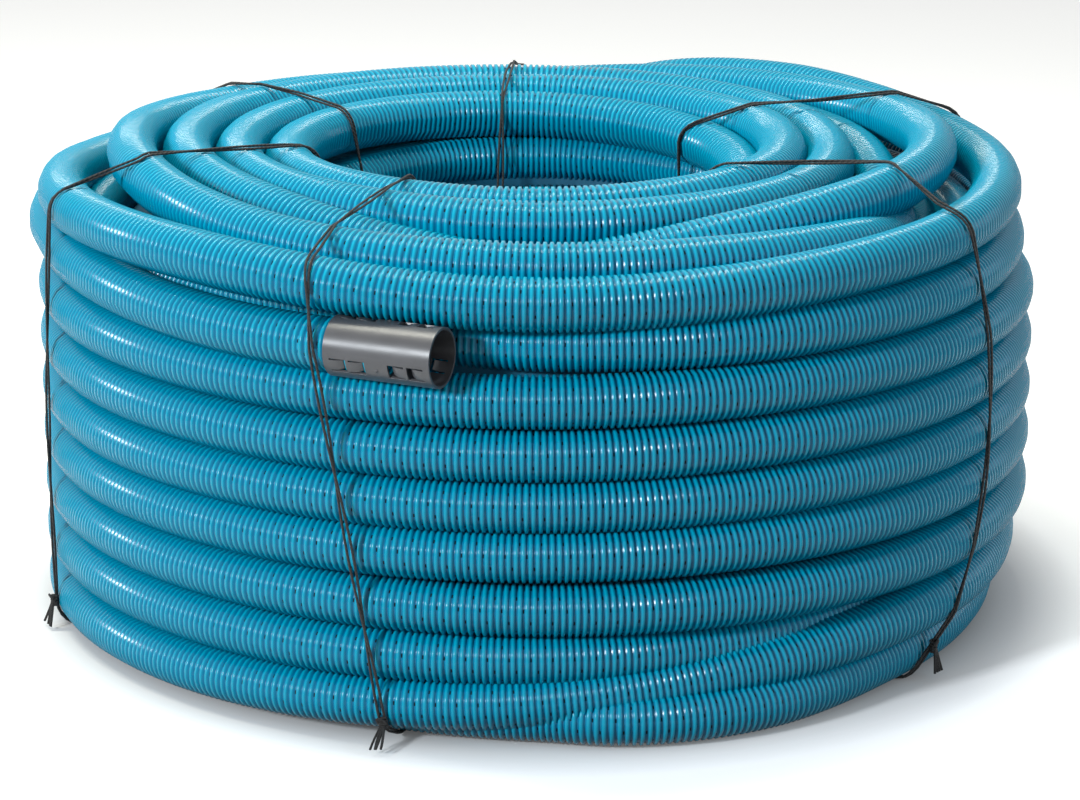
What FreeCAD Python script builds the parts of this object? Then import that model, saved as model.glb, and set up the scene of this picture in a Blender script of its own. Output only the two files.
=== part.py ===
# A coil of corrugated drainage pipe, tied with twine, lying flat on the floor.
# The frame is in millimetres, with +Z up. The origin is on the floor at the coil's own axis.
# Angles round the coil are measured from the front, which is -Y, towards +X.
import FreeCAD, Part
import math
import os
import Sketcher
from FreeCAD import Placement, Rotation, Vector

doc = FreeCAD.newDocument("drainage_pipe_coil")
sheet = doc.addObject("Spreadsheet::Sheet", "sizes")

SIZES = [
    # The pipe
    ("pipe_outside", 50.0, "outside diameter over the waves"),
    ("pipe_wall", 0.6, "thickness of the waved wall"),
    ("wave_deep", 2.4, "depth of a valley, which leaves a bore of 44"),
    ("wave_pitch", 6.3, "length of one wave"),
    ("wave_crest", 3.8, "length of a crest, between steep flanks"),
    ("shown_waves", 6, "waves modelled between the plain turn and the coupler"),
    ("end_short", 1.0, "gap between the pipe's end and the coupler's stop"),
    ("slot_long", 5.0, "length of a drain slot round the pipe"),
    ("slot_wide", 1.2, "width of a drain slot"),
    ("slot_rows", 6, "rows of drain slots round the pipe"),
    # The coil
    ("coil_radius", 474.0, "axis to the middle of the outermost turn"),
    ("column_nest", 1.8, "how far the waves of turns beside each other mesh"),
    ("columns", 6, "turns beside each other in one layer"),
    ("layers", 9, "layers of turns"),
    ("layer_step", 50.8, "height from layer to layer, as the turns wander a little"),
    ("top_turns", 5, "loose turns beside each other in the top layer"),
    ("top_step", 63.0, "step from the outermost top turn to the next"),
    ("top_closer", 4.0, "how much shorter each step further in is"),
    ("top_rise", 18.0, "how far the second top turn rides up on its neighbours"),
    ("top_fall", 2.0, "how much less each top turn further in rides up"),
    ("gap_seen", 2.5, "how deep a gap between top turns goes, as a share of its width"),
    ("turn_flat", 0.26, "flat that stands for the top of a turn, as a share of the pipe's width"),
    # The free end of the pipe
    ("end_layer", 7, "layer of the free end, counted from 0 at the floor"),
    ("end_drop", 6.6, "how far the free end hangs below its layer"),
    ("end_start", -75.0, "angle where the free end leaves the outer turn"),
    ("end_turn", 50.0, "angle of its wider bend"),
    ("end_spread", 38.5, "how much wider its bend is than the outer turn"),
    ("dive_start", 28.0, "angle where the next turn bends inwards"),
    ("dive_turn", 55.0, "angle of that bend"),
    ("dive_spread", 200.0, "how much tighter its bend is than the outer turn"),
    ("bend_lap", 2.0, "angle by which both bends reach into the coil"),
    # The coupler
    ("coupler_long", 106.0, "length of the coupler"),
    ("coupler_wall", 2.4, "wall of the coupler"),
    ("coupler_play", 0.35, "clearance between the coupler's bore and the pipe, on radius"),
    ("coupler_room", 0.5, "clearance between the coupler and the turns beside it"),
    ("stop_long", 2.0, "length of the ring that stops both pipes in the middle"),
    ("stop_high", 2.0, "height of that ring"),
    ("tab_long", 13.0, "length of a snap tab"),
    ("tab_wide", 11.0, "width of a snap tab"),
    ("tab_cut", 1.4, "width of the cut round a snap tab"),
    ("tab_first", 10.0, "coupler's mouth to the outer tab"),
    ("tab_step", 19.0, "outer tab to inner tab"),
    ("tab_rows", 3, "rows of snap tabs round the coupler"),
    ("tab_turn", 38.0, "angle of the first row, from level towards the floor"),
    # The ties
    ("twine", 3.0, "thickness of one strand"),
    ("tie_play", 0.3, "clearance between a tie and the turns"),
    ("tie_head", 22.0, "radius of a tie's bend round the coil's top edges"),
    ("tie_foot", 17.0, "radius of its bend round the coil's bottom edges"),
    ("knot", 4.2, "radius of a knot"),
    ("knot_wide", 9.2, "width of a knot across the tie"),
    ("knot_high", 27.0, "height of a knot over the tie's run under the coil"),
    ("tail_long", 24.0, "length of a tail below the knot"),
]
# Each tie lies in an upright plane: the angle that the plane points to, how far it leans to the
# side going up, how far it passes beside the coil's axis as a share of the eye's radius, and
# whether it passes over the free end.
TIES = [(-62.0, 4.3, -0.353, False), (-20.0, -9.3, -0.01, True), (62.6, 6.1, -0.42, False),
        (86.0, 0.0, 0.721, False), (175.0, 0.0, 0.269, False), (240.2, 0.0, -0.09, False)]

for row, (alias, value, note) in enumerate(SIZES, start=1):
    sheet.set("A%d" % row, alias)
    sheet.set("B%d" % row, str(value))
    sheet.set("C%d" % row, note)
    sheet.setAlias("B%d" % row, alias)
doc.recompute()


def size(alias):
    return float(sheet.get(alias))


def count(alias):
    return int(round(size(alias)))


def radial(angle):
    """Unit vector from the coil's axis towards an angle round the coil."""
    return Vector(math.sin(math.radians(angle)), -math.cos(math.radians(angle)), 0)


def along(angle):
    """Unit vector along a turn at an angle round the coil."""
    return Vector(math.cos(math.radians(angle)), math.sin(math.radians(angle)), 0)


def bind(thing, **formulas):
    """Ties properties of an object to expressions on the sheet."""
    for name, formula in formulas.items():
        thing.setExpression(name, formula)
    return thing


def turned_body(name, corners):
    """A body turned about Z from the closed outline through (radius, height) corners."""
    body = doc.addObject("PartDesign::Body", name)
    sketch = body.newObject("Sketcher::SketchObject", name + "_outline")
    planes = {plane.Role: plane for plane in body.Origin.OriginFeatures}
    sketch.AttachmentSupport = [(planes["XZ_Plane"], "")]
    sketch.MapMode = "FlatFace"
    points = [Vector(x, y, 0) for x, y in corners]
    for index, point in enumerate(points):
        sketch.addGeometry(Part.LineSegment(point, points[(index + 1) % len(points)]))
    for index in range(len(points)):
        sketch.addConstraint(Sketcher.Constraint("Coincident", index, 2, (index + 1) % len(points), 1))
    turn = body.newObject("PartDesign::Revolution", name + "_turned")
    turn.Profile = sketch
    turn.ReferenceAxis = (planes["Z_Axis"], [""])
    turn.Angle = 360
    body.Tip = turn
    return body


def combine(kind, name, things):
    """One boolean of several objects."""
    result = doc.addObject(kind, name)
    if kind == "Part::Cut":
        result.Base, result.Tool = things
    else:
        result.Shapes = things
    return result


# The coil is one turned solid with its bore. A flat and two slopes stand for each turn that
# shows on the outer wall and the ends, with a groove between two turns. The bore is plain.
radius = size("pipe_outside") / 2
column_step = size("pipe_outside") - size("column_nest")
outer_wall = size("coil_radius") + radius
bore_wall = size("coil_radius") - (size("columns") - 1) * column_step - radius
coil_high = (size("layers") - 1) * size("layer_step") + size("pipe_outside")
flat = size("turn_flat") * radius
groove_deep = radius - flat


def turn_levels():
    """The middles of the layers, from the floor up."""
    return [radius + layer * size("layer_step") for layer in range(count("layers"))]


def turn_columns():
    """The radii of the columns, from the outermost in."""
    return [size("coil_radius") - column * column_step for column in range(count("columns"))]


def top_columns():
    """The radii of the loose turns in the top layer, from the outermost in."""
    columns = [size("coil_radius")]
    for turn in range(count("top_turns") - 1):
        columns.append(columns[-1] - size("top_step") + turn * size("top_closer"))
    return columns


def top_rises():
    """How far each top turn lies above the level coil, from the outermost in."""
    inner = range(count("top_turns") - 1)
    return [0.0] + [size("top_rise") - turn * size("top_fall") for turn in inner]


def wall_corners():
    """The outer wall from the floor up: flats of the turns, with grooves between them."""
    corners = []
    for level in turn_levels():
        corners += [(outer_wall, level - flat), (outer_wall, level + flat)]
        corners.append((outer_wall - groove_deep, level + size("layer_step") / 2))
    return corners[:-1]


def floor_corners():
    """The end on the floor, from outside in."""
    corners = []
    for column in turn_columns():
        corners += [(column + flat, 0), (column - flat, 0)]
        corners.append((column - column_step / 2, groove_deep))
    return corners[:-1]


def top_corners():
    """The top end from outside in. The wider a gap between two turns, the deeper one sees in."""
    corners = []
    columns = top_columns()
    for index, (column, height) in enumerate(zip(columns, top_heights)):
        corners += [(column + flat, height), (column - flat, height)]
        corners.append((column - radius, height - groove_deep))
        if index + 1 < len(columns):
            gap = column - columns[index + 1] - 2 * radius
            corners.append((column - radius - gap / 2, height - groove_deep - gap * size("gap_seen")))
            corners.append((columns[index + 1] + radius, top_heights[index + 1] - groove_deep))
    return corners


top_heights = [coil_high + rise for rise in top_rises()]
section = wall_corners() + top_corners()
section += [(bore_wall, top_heights[-1] - 2 * radius), (bore_wall, radius - flat)]
section += list(reversed(floor_corners()))
turned_coil = turned_body("turned_coil", section)

# Room in the outer column, where the free end stands off and the next turn bends inwards.
end_level = turn_levels()[count("end_layer")] - size("end_drop")
room_start = size("end_start") + size("bend_lap")
room_disc = doc.addObject("Part::Cylinder", "room_disc")
bind(room_disc, Radius="sizes.coil_radius + sizes.pipe_outside", Height="sizes.layer_step",
     Angle="sizes.dive_start - sizes.end_start - 2 * sizes.bend_lap")
room_hub = doc.addObject("Part::Cylinder", "room_hub")
bind(room_hub, Radius="sizes.coil_radius - sizes.pipe_outside / 2 + 1",
     Height="sizes.layer_step")
room_floor = turn_levels()[count("end_layer")] - size("layer_step") / 2
room_disc.Placement = Placement(Vector(0, 0, room_floor), Rotation(Vector(0, 0, 1), room_start - 90))
room_hub.Placement = Placement(Vector(0, 0, room_floor), Rotation())
room = combine("Part::Cut", "room", [room_disc, room_hub])

# The free end: a wider bend that leaves the outer turn, then the straight end in the coupler.
end_start = size("end_start")
end_heading = end_start + size("end_turn")
end_bend_radius = size("coil_radius") + size("end_spread")
end_centre = radial(end_start) * -size("end_spread") + Vector(0, 0, end_level)
mouth_point = end_centre + radial(end_heading) * end_bend_radius
coupler_axis = along(end_heading)


def bend(name, centre, start, bend_radius, turn):
    """A plain length of pipe on an arc, with the flats and slopes of the turned coil."""
    ring = [(radius, flat), (flat, radius), (-flat, radius), (-radius, flat),
            (-radius, -flat), (-flat, -radius), (flat, -radius), (radius, -flat)]
    corners = [Vector(bend_radius + x, 0, z) for x, z in ring]
    face = Part.Face(Part.makePolygon(corners + corners[:1]))
    piece = doc.addObject("Part::Feature", name)
    piece.Shape = face.revolve(Vector(), Vector(0, 0, 1), turn)
    piece.Placement = Placement(centre, Rotation(Vector(0, 0, 1), start - 90))
    return piece


# The plain bend stops where the modelled waves begin.
waved_long = count("shown_waves") * size("wave_pitch")
end_bend = bend("end_bend", end_centre, end_start, end_bend_radius,
                size("end_turn") - math.degrees(waved_long / end_bend_radius))
dive_centre = radial(size("dive_start")) * size("dive_spread") + Vector(0, 0, end_level)
dive_bend = bend("dive_bend", dive_centre, size("dive_start") - size("dive_turn"),
                 size("coil_radius") - size("dive_spread"), size("dive_turn"))


def wave_corners():
    """Corners of the waves that show, along the pipe's axis."""
    corners = []
    for wave in range(count("shown_waves")):
        place = wave * size("wave_pitch")
        corners += [(radius, place), (radius, place + size("wave_crest")),
                    (valley_radius, place + size("wave_crest")),
                    (valley_radius, place + size("wave_pitch"))]
    return corners


# The straight end is hollow. Its waves show up to the coupler, and it is plain inside that.
valley_radius = radius - size("wave_deep")
bore_radius = valley_radius - size("pipe_wall")
end_long = waved_long + size("coupler_long") / 2 - size("stop_long") / 2 - size("end_short")
end_outline = wave_corners() + [(radius, waved_long), (radius, end_long),
                                (bore_radius, end_long), (bore_radius, 0)]
waved_end = turned_body("waved_end", end_outline)
end_axes = Rotation(radial(end_heading), Vector(0, 0, -1), coupler_axis, "ZXY")
waved_end.Placement = Placement(mouth_point - coupler_axis * waved_long, end_axes)


def slot_cuts():
    """Drain slots through the wall in two of the valleys that show, staggered by half a row."""
    cuts = []
    middle = size("wave_crest") + (size("wave_pitch") - size("wave_crest")) / 2
    for ring, wave in enumerate((1, count("shown_waves") - 2)):
        for row in range(count("slot_rows")):
            cut = Part.makeBox(radius, size("slot_long"), size("slot_wide"),
                               Vector(bore_radius - size("pipe_wall"), -size("slot_long") / 2,
                                      wave * size("wave_pitch") + middle - size("slot_wide") / 2))
            cut.rotate(Vector(), Vector(0, 0, 1), (row + ring / 2) * 360 / count("slot_rows"))
            cuts.append(cut)
    return Part.makeCompound(cuts)


slots = doc.addObject("Part::Feature", "slots")
slots.Shape = slot_cuts()
slots.Placement = waved_end.Placement
slotted_end = combine("Part::Cut", "slotted_end", [waved_end, slots])

# The coupler presses into the turns beside it, which give way all round it.
coupler_space = doc.addObject("Part::Cylinder", "coupler_space")
bind(coupler_space,
     Radius="sizes.pipe_outside / 2 + sizes.coupler_play + sizes.coupler_wall + sizes.coupler_room",
     Height="sizes.coupler_long + 2 * sizes.coupler_room")
coupler_space.Placement = Placement(mouth_point - coupler_axis * size("coupler_room"), end_axes)

# Each tie lies in a wave's valley under the coil, so the coil stands on its crests.
mid_height = coil_high / 2
tie_wide = 2 * size("twine")


def tie_place(angle, lean, share):
    """Puts a tie's own frame, with x away from the coil and y across the tie, in its plane."""
    turn = Rotation(Vector(0, 0, 1), angle - 90) * Rotation(Vector(1, 0, 0), -lean)
    return Placement(Vector(0, 0, mid_height) + along(angle) * share * bore_wall, turn)


def tie_top_under_coil(lean):
    """How far the top of a tie's run under the coil lies below the middle, along its plane."""
    rise = size("tie_play") / 2 + tie_wide / 2 * math.sin(math.radians(abs(lean))) + size("twine")
    return (mid_height - rise) / math.cos(math.radians(lean))


def tie_valley(angle, lean, share):
    """The valley under the coil that takes a tie."""
    room = size("tie_play")
    valley = Part.makeBox(outer_wall, tie_wide + 2 * room, mid_height,
                          Vector(0, -tie_wide / 2 - room,
                                 room - tie_top_under_coil(lean) - mid_height))
    valley.Placement = tie_place(angle, lean, share)
    return valley


valleys = doc.addObject("Part::Feature", "tie_valleys")
valleys.Shape = Part.makeCompound([tie_valley(*tie[:3]) for tie in TIES])
coil_room = combine("Part::Cut", "coil_room", [turned_coil, room])
coil_space = combine("Part::Cut", "coil_space", [coil_room, coupler_space])
coil_valleys = combine("Part::Cut", "coil_valleys", [coil_space, valleys])
drain_pipe = combine("Part::MultiFuse", "drain_pipe", [coil_valleys, end_bend, dive_bend, slotted_end])

# The coupler is a sleeve with a ring inside its middle and rows of snap tabs cut into its wall.
half_long = size("coupler_long") / 2
sleeve_inner = radius + size("coupler_play")
sleeve_outer = sleeve_inner + size("coupler_wall")
half_stop = size("stop_long") / 2
stop_inner = sleeve_inner - size("stop_high")
sleeve = turned_body("sleeve", [
    (sleeve_outer, 0), (sleeve_outer, 2 * half_long), (sleeve_inner, 2 * half_long),
    (sleeve_inner, half_long + half_stop), (stop_inner, half_long + half_stop),
    (stop_inner, half_long - half_stop), (sleeve_inner, half_long - half_stop), (sleeve_inner, 0)])


def tab_cut():
    """The cut round one tab, open towards the mouth, at angle 0 with the mouth at height 0."""
    long, wide, cut = size("tab_long"), size("tab_wide"), size("tab_cut")
    inside, reach = sleeve_inner - size("coupler_wall"), 3 * size("coupler_wall")
    outer = Part.makeBox(reach, wide, long, Vector(inside, -wide / 2, size("tab_first")))
    tab = Part.makeBox(reach, wide - 2 * cut, long - cut,
                       Vector(inside, cut - wide / 2, size("tab_first")))
    return outer.cut(tab)


def tab_cuts():
    """The cuts of every tab: two in line at each end, in rows round the sleeve."""
    cuts = []
    for row in range(count("tab_rows")):
        for place in range(2):
            near = tab_cut()
            near.translate(Vector(0, 0, place * size("tab_step")))
            far = near.mirror(Vector(0, 0, half_long), Vector(0, 0, 1))
            for cut in (near, far):
                cut.rotate(Vector(), Vector(0, 0, 1), size("tab_turn") + row * 360 / count("tab_rows"))
                cuts.append(cut)
    return Part.makeCompound(cuts)


tabs = doc.addObject("Part::Feature", "tabs")
tabs.Shape = tab_cuts()
coupler = combine("Part::Cut", "coupler", [sleeve, tabs])
coupler.Placement = Placement(mouth_point, end_axes)


# The ties are double strands of twine, pulled tight round the coil and knotted near the floor.
def taut_loop(circles, thick):
    """The closed loop, a thickness outside circles (x, z, radius), that runs straight between them."""
    def leaving(first, second):
        reach = math.hypot(second[0] - first[0], second[1] - first[1])
        heading = math.atan2(second[1] - first[1], second[0] - first[0]) - math.pi / 2
        return heading + math.asin((first[2] - second[2]) / reach)

    turns = [leaving(circle, circles[(index + 1) % len(circles)]) for index, circle in enumerate(circles)]
    arcs = []
    for index, (x, z, reach) in enumerate(circles):
        start, end = turns[index - 1], turns[index]
        end += 2 * math.pi if end < start else 0
        points = [Vector(x + (reach + thick) * math.cos(turn), 0, z + (reach + thick) * math.sin(turn))
                  for turn in (start, (start + end) / 2, end)]
        arcs.append(Part.Arc(*points).toShape())
    edges = []
    for index, arc in enumerate(arcs):
        following = arcs[(index + 1) % len(arcs)]
        edges += [arc, Part.makeLine(arc.valueAt(arc.LastParameter),
                                     following.valueAt(following.FirstParameter))]
    return Part.Wire(edges)


def free_end_crossing(angle, lean, beside):
    """How far along a tie's plane the middle of the free end lies where the tie passes over it."""
    outward = radial(end_heading)
    aside = along(angle) * (beside + (end_level - mid_height) * math.tan(math.radians(lean)))
    return (mouth_point - aside).dot(outward) / radial(angle).dot(outward)


def tie_shape(angle, lean, share, over_free_end):
    """A tie in its own frame, with the middle of the coil's height at 0."""
    twine, play, beside = size("twine"), size("tie_play"), share * bore_wall
    slant, shift = math.cos(math.radians(lean)), mid_height * math.tan(math.radians(abs(lean)))
    nearest = max(0, abs(beside) - shift - tie_wide / 2)
    furthest = abs(beside) + shift + tie_wide / 2
    corner_play = math.hypot(radius, flat) - radius + play
    high_x = math.sqrt((outer_wall + corner_play) ** 2 - nearest ** 2)
    low_x = math.sqrt((bore_wall - play - twine) ** 2 - furthest ** 2) + twine
    outer_z, inner_z = ((top_heights[column] - mid_height + corner_play) / slant
                        for column in (0, -1))
    raised_z = (top_heights[1] - mid_height - radius) / slant
    top_beside = beside + mid_height * math.tan(math.radians(lean))
    raised_x = math.sqrt(top_columns()[1] ** 2 - top_beside ** 2)
    skew = abs(top_beside) / raised_x
    raised_flat = flat * math.hypot(1, skew) + tie_wide / 2 * skew
    tilt = tie_wide / 2 * math.tan(math.radians(abs(lean)))
    raised_round = math.hypot(radius / slant, raised_flat) + play + tilt
    low_z = -tie_top_under_coil(lean)
    head, foot = size("tie_head"), size("tie_foot")
    circles = [(high_x - foot, low_z + foot, foot)]
    if over_free_end:
        circles.append((free_end_crossing(angle, lean, beside), (end_level - mid_height) / slant,
                        radius + 2 * play))
    circles += [(high_x - head, outer_z - head, head), (raised_x, raised_z, raised_round),
                (low_x + head, inner_z - head, head), (low_x + foot, low_z + foot, foot)]
    outer, inner = (Part.Face(taut_loop(circles, thick)) for thick in (twine, 0))
    band = outer.cut(inner).extrude(Vector(0, tie_wide, 0))
    band.translate(Vector(0, -tie_wide / 2, 0))
    knot_middle = Vector(high_x + size("knot") + play, 0, low_z + size("knot_high"))
    pieces = [Part.makeCylinder(size("knot"), size("knot_wide"),
                                knot_middle - Vector(0, size("knot_wide") / 2, 0), Vector(0, 1, 0))]
    for side in (-1, 1):
        tail = Part.makeBox(twine, twine, size("tail_long"),
                            knot_middle + Vector(-twine / 2, side * twine - twine / 2, -size("tail_long")))
        tail.rotate(knot_middle, Vector(1, -0.4 * side, 0), 25 * side)
        pieces.append(tail)
    return band.fuse(pieces)


ties = []
for number, (angle, lean, share, over_free_end) in enumerate(TIES, start=1):
    tie = doc.addObject("Part::Feature", "tie_%d" % number)
    tie.Shape = tie_shape(angle, lean, share, over_free_end)
    tie.Placement = tie_place(angle, lean, share)
    ties.append(tie)

doc.recompute()
kept = [drain_pipe, coupler] + ties
for thing in doc.Objects:
    if "Invalid" in thing.State or "Error" in thing.State:
        raise RuntimeError("%s failed: %s" % (thing.Name, thing.State))
os.makedirs("parts", exist_ok=True)
for thing in kept:
    thing.Label = thing.Name
    shape = thing.Shape
    if shape.isNull() or not shape.isValid():
        raise RuntimeError("%s has no valid shape" % thing.Label)
    print(thing.Label, len(shape.Solids), round(shape.Volume), shape.BoundBox)
    shape.exportStep("parts/%s.step" % thing.Label)
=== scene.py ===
# A coil of corrugated drainage pipe, tied with twine. The pipe is turquoise PVC, extruded and then
# formed into waves, with drain slots cut into the valleys. Its outer end wears a grey coupler.
# Lengths are in millimetres up to the point where a piece is made, and in metres after it, as the
# studio's are.
# Angles round the coil run from the front, which is -Y, towards +X.
import random
from math import atan2, ceil, cos, degrees, hypot, pi, radians, sin

import bmesh
import bpy
from mathutils import Euler, Matrix, Vector
from mathutils.geometry import convex_hull_2d


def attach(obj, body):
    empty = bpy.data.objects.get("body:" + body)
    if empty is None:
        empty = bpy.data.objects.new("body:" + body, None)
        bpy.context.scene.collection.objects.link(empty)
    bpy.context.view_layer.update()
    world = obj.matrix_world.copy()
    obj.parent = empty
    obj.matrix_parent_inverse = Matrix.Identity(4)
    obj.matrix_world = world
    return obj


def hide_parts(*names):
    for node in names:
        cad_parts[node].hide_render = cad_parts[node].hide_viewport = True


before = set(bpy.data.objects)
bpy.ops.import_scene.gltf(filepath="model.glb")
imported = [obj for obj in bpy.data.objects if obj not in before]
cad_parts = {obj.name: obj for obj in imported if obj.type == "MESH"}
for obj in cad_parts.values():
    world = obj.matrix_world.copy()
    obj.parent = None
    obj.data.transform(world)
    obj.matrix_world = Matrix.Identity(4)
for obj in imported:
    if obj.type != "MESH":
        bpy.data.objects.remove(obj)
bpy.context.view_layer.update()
scene = bpy.context.scene
MM = 0.001


# The pipe itself: 50 mm over the waves, a wave every 6.3 mm, wide crests and narrow valleys.
# Extruded PVC that is sucked into a moving mould, which leaves it smooth, hard and a little waxy.
# The slots are sawn through the valleys in rows. Here they are marks in the material, painted near-black as
# shade for the dim bore seen through them.
PIPE_RADIUS = 25.0
WAVE_PITCH = 6.3
WAVE_DEEP = 2.4
CREST_END, VALLEY_START, VALLEY_END = 0.42, 0.58, 0.84
CREST_LIT = 0.44
CROWDING = 0.42
SLOT_EVERY = 3
SLOT_ROWS = 4
SLOT_LONG = 3.6
SLOT_WIDE = 1.3
SLOT_ROUGHNESS = 0.9
PIPE_COLOUR = "#0099B6"
PIPE_DEEP = "#0093B0"
# The valley colour is painted shade, where the waves shade each other.
PIPE_VALLEY_PAINTED_SHADE = "#007296"
# The slot colour is painted shade: the dim bore seen through a slot.
SLOT_PAINTED_SHADE = "#04161E"
PVC_IOR = 1.53
PVC_SPECULAR = 0.19
PVC_SMOOTH, PVC_WAXY = 0.15, 0.25
# The grain of the PVC is finer than the camera can see, so it is drawn about 1 mm coarse.
CLOUD_SIZE, GRAIN_SIZE = 142.857, 1.11111
GRAIN_STRENGTH, GRAIN_HEIGHT = 0.12, 0.4
WINDING_STEP = 1.5
MERGE_REACH = WAVE_PITCH / 50


def linear(text):
    """A hex colour as Blender's linear colour."""
    parts = [int(text[place:place + 2], 16) / 255 for place in (1, 3, 5)]
    return [part / 12.92 if part <= 0.04045 else ((part + 0.055) / 1.055) ** 2.4 for part in parts] + [1]


def add_node(owner, kind, links=None, **settings):
    """A node with its settings, and its inputs set or linked. A node as an input means its first output."""
    node = owner.node_tree.nodes.new(kind)
    for name, value in settings.items():
        setattr(node, name, value)
    for name, value in (links or {}).items():
        if isinstance(value, bpy.types.Node):
            value = value.outputs[0]
        if isinstance(value, bpy.types.NodeSocket):
            owner.node_tree.links.new(value, node.inputs[name])
        else:
            node.inputs[name].default_value = value
    return node


def noise_scale(size):
    """The scale at which a noise pattern has features of a size in millimetres."""
    return 1 / (size * MM)


def new_material(name):
    """A material with only its Principled shader, and that shader."""
    material = bpy.data.materials.new(name)
    material.use_nodes = True
    return material, material.node_tree.nodes["Principled BSDF"]


def slot_marks(material, waves, around):
    """Where the slots are: in the valleys, each third wave in one row, with the rows stepped between."""
    math = "ShaderNodeMath"
    valley_middle = (VALLEY_START + VALLEY_END) / 2
    half_wide = SLOT_WIDE / WAVE_PITCH / 2
    half_long = SLOT_LONG * SLOT_ROWS / (4 * pi * (PIPE_RADIUS - WAVE_DEEP))
    within = add_node(material, math, {0: waves}, operation="FRACT")
    along = add_node(material, math, {0: within, 1: valley_middle}, operation="SUBTRACT")
    from_valley = add_node(material, math, {0: along}, operation="ABSOLUTE")
    in_valley = add_node(material, math, {0: from_valley, 1: half_wide}, operation="LESS_THAN")
    wave = add_node(material, math, {0: waves}, operation="FLOOR")
    third = add_node(material, math, {0: wave, 1: SLOT_EVERY}, operation="FLOORED_MODULO")
    stepped = add_node(material, math, {0: third, 1: SLOT_EVERY}, operation="DIVIDE")
    turned = add_node(material, math, {0: around, 1: SLOT_ROWS, 2: stepped}, operation="MULTIPLY_ADD")
    in_step = add_node(material, math, {0: turned}, operation="FRACT")
    aside = add_node(material, math, {0: in_step, 1: 0.5}, operation="SUBTRACT")
    from_row = add_node(material, math, {0: aside}, operation="ABSOLUTE")
    in_row = add_node(material, math, {0: from_row, 1: half_long}, operation="LESS_THAN")
    marks = add_node(material, math, {0: in_row, 1: in_valley}, operation="MULTIPLY")
    return from_valley, VALLEY_END - valley_middle, marks


def pipe_material():
    """Formed PVC: an even turquoise that goes to petrol, glossy crests, valleys darkened with painted
    shade, and slots painted near-black as painted shade.
    """
    material, shader = new_material("turquoise_pvc_vacuum_formed")
    link = material.node_tree.links.new
    place = add_node(material, "ShaderNodeUVMap", uv_map="along_and_around")
    split = add_node(material, "ShaderNodeSeparateXYZ", {0: place})
    from_valley, valley_half, marks = slot_marks(material, split.outputs[0], split.outputs[1])
    crest = add_node(material, "ShaderNodeMapRange", {0: from_valley, 1: valley_half, 2: CREST_LIT},
                     interpolation_type="SMOOTHSTEP")
    spot = add_node(material, "ShaderNodeTexCoord")
    cloud = add_node(material, "ShaderNodeTexNoise",
                     {"Vector": spot.outputs["Object"], "Scale": noise_scale(CLOUD_SIZE), "Detail": 2.0})
    base = add_node(material, "ShaderNodeMix", {0: cloud, 6: linear(PIPE_COLOUR), 7: linear(PIPE_DEEP)},
                    data_type="RGBA")
    # The valleys take a darker colour that fades out towards the crests: painted shade.
    with_valley_shade = add_node(material, "ShaderNodeMix", {0: crest, 6: linear(PIPE_VALLEY_PAINTED_SHADE), 7: base.outputs[2]},
                     data_type="RGBA")
    # The slots take a near-black colour: painted shade for the dark bore behind them.
    colour = add_node(material, "ShaderNodeMix", {0: marks, 6: with_valley_shade.outputs[2], 7: linear(SLOT_PAINTED_SHADE)},
                      data_type="RGBA")
    link(colour.outputs[2], shader.inputs["Base Color"])
    grain = add_node(material, "ShaderNodeTexNoise",
                     {"Vector": spot.outputs["Object"], "Scale": noise_scale(GRAIN_SIZE), "Detail": 2.0})
    waxy = add_node(material, "ShaderNodeMapRange", {0: grain, 3: PVC_SMOOTH, 4: PVC_WAXY})
    dull = add_node(material, "ShaderNodeMath", {0: marks, 1: SLOT_ROUGHNESS}, operation="MULTIPLY")
    rough = add_node(material, "ShaderNodeMath", {0: waxy, 1: dull}, operation="MAXIMUM")
    link(rough.outputs[0], shader.inputs["Roughness"])
    bump = add_node(material, "ShaderNodeBump",
                    {"Height": grain, "Strength": GRAIN_STRENGTH, "Distance": GRAIN_HEIGHT * MM})
    link(bump.outputs[0], shader.inputs["Normal"])
    shader.inputs["IOR"].default_value = PVC_IOR
    shader.inputs["Specular IOR Level"].default_value = PVC_SPECULAR
    return material


PVC = pipe_material()


def polar(angle, radius, height):
    """A place on the coil as a point in millimetres."""
    return Vector((radius * sin(radians(angle)), -radius * cos(radians(angle)), height))


def smooth_between(stations, angle):
    """Radius and height at an angle, on a curve that passes smoothly through the stations."""
    index = 0
    while index < len(stations) - 2 and angle > stations[index + 1][0]:
        index += 1
    before, start = stations[max(index - 1, 0)], stations[index]
    end, after = stations[index + 1], stations[min(index + 2, len(stations) - 1)]
    span = end[0] - start[0]
    share = (angle - start[0]) / span
    square, cube = share ** 2, share ** 3
    result = []
    for axis in (1, 2):
        leaving = (end[axis] - before[axis]) / (end[0] - before[0]) * span
        arriving = (after[axis] - start[axis]) / (after[0] - start[0]) * span
        result.append((2 * cube - 3 * square + 1) * start[axis] + (cube - 2 * square + share) * leaving
                      + (3 * square - 2 * cube) * end[axis] + (cube - square) * arriving)
    return result


def winding(stations):
    """Points in millimetres every few degrees round the coil, through (angle, radius, height)."""
    first, last = stations[0][0], stations[-1][0]
    steps = ceil((last - first) / WINDING_STEP)
    angles = [first + (last - first) * index / steps for index in range(steps + 1)]
    return [polar(angle, *smooth_between(stations, angle)) for angle in angles]


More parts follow.
